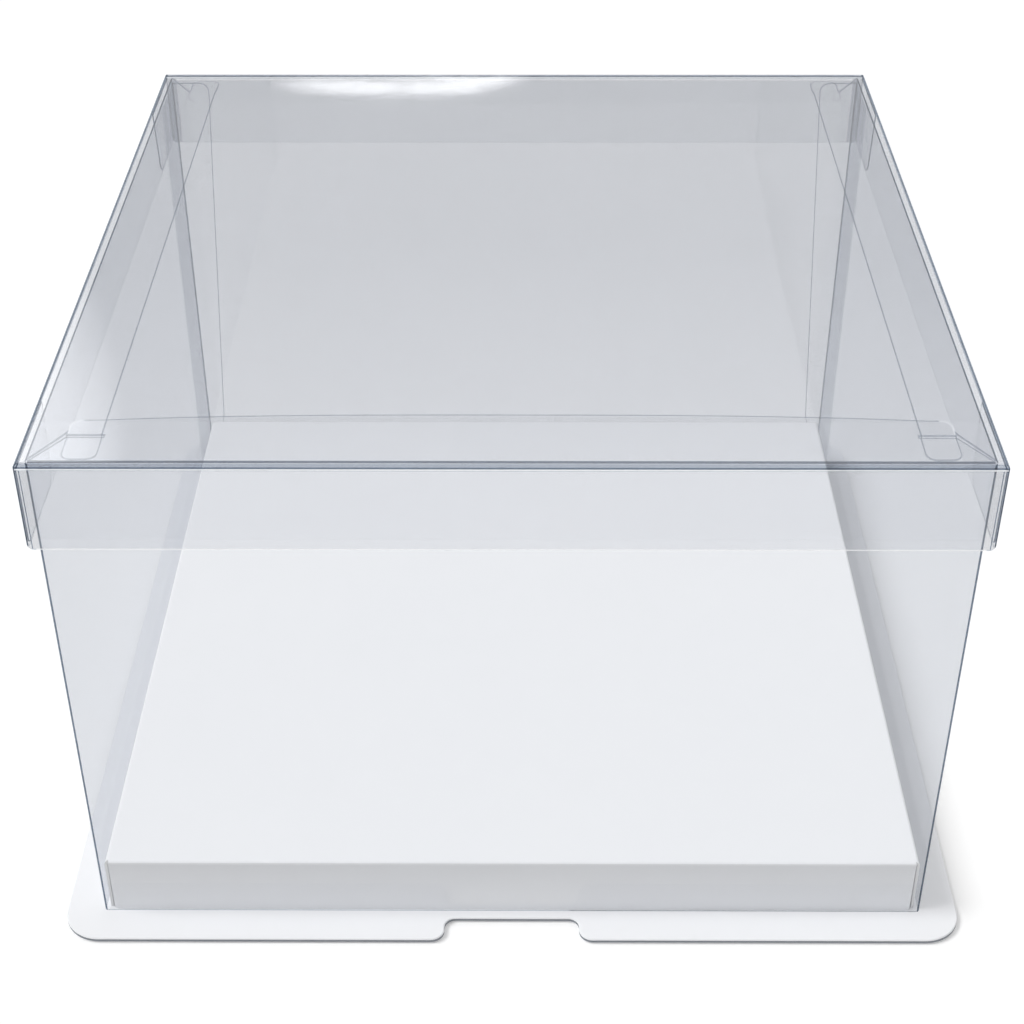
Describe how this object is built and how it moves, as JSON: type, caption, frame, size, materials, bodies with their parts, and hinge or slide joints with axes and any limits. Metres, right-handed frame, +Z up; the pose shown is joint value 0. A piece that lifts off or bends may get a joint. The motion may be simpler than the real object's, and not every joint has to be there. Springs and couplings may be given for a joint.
{
  "type": "cake box",
  "caption": "Square clear cake box: white card tray on a notched base board, a clear folded sleeve that lifts off, and a clear lift-off lid with a skirt.",
  "frame": {"origin": "middle of the base board's underside, on the surface that the box stands on", "axes": "+Z up, front of the box towards -Y, +X to the right as seen from the front"},
  "size_m": [0.333, 0.333, 0.2055],
  "materials": {
    "sleeve_film": "gloss",
    "lid_film": "gloss",
    "tray_card": "satin",
    "base_board": "satin",
    "rib_card": "matte"
  },
  "bodies": {
    "base": {"base_board": "base_board", "tray_deck": "tray_card", "tray_front_wall": "tray_card", "tray_back_wall": "tray_card", "tray_left_wall": "tray_card", "tray_right_wall": "tray_card", "tray_front_flange": "tray_card", "tray_back_flange": "tray_card", "tray_left_flange": "tray_card", "tray_right_flange": "tray_card", "deck_rib_across": "rib_card", "deck_rib_along": "rib_card"},
    "sleeve": {"sleeve_front_wall": "sleeve_film", "sleeve_back_wall": "sleeve_film", "sleeve_left_wall": "sleeve_film", "sleeve_right_wall": "sleeve_film", "sleeve_front_flap": "sleeve_film", "sleeve_back_flap": "sleeve_film", "sleeve_left_flap": "sleeve_film", "sleeve_right_flap": "sleeve_film", "sleeve_left_seam_back_leg": "sleeve_film", "sleeve_right_seam_back_leg": "sleeve_film", "sleeve_left_seam_side_leg": "sleeve_film", "sleeve_right_seam_side_leg": "sleeve_film"},
    "lid": {"lid_top_panel": "lid_film", "lid_front_skirt": "lid_film", "lid_back_skirt": "lid_film", "lid_left_skirt": "lid_film", "lid_right_skirt": "lid_film", "lid_front_left_tab": "lid_film", "lid_front_right_tab": "lid_film", "lid_back_left_tab": "lid_film", "lid_back_right_tab": "lid_film"}
  },
  "joints": [
    {"name": "sleeve_lift", "type": "slide", "parent": "base", "child": "sleeve", "axis": [0, 0, 1], "range_m": [0, 0.21]},
    {"name": "lid_lift", "type": "slide", "parent": "sleeve", "child": "lid", "axis": [0, 0, 1], "range_m": [0, 0.08]}
  ]
}
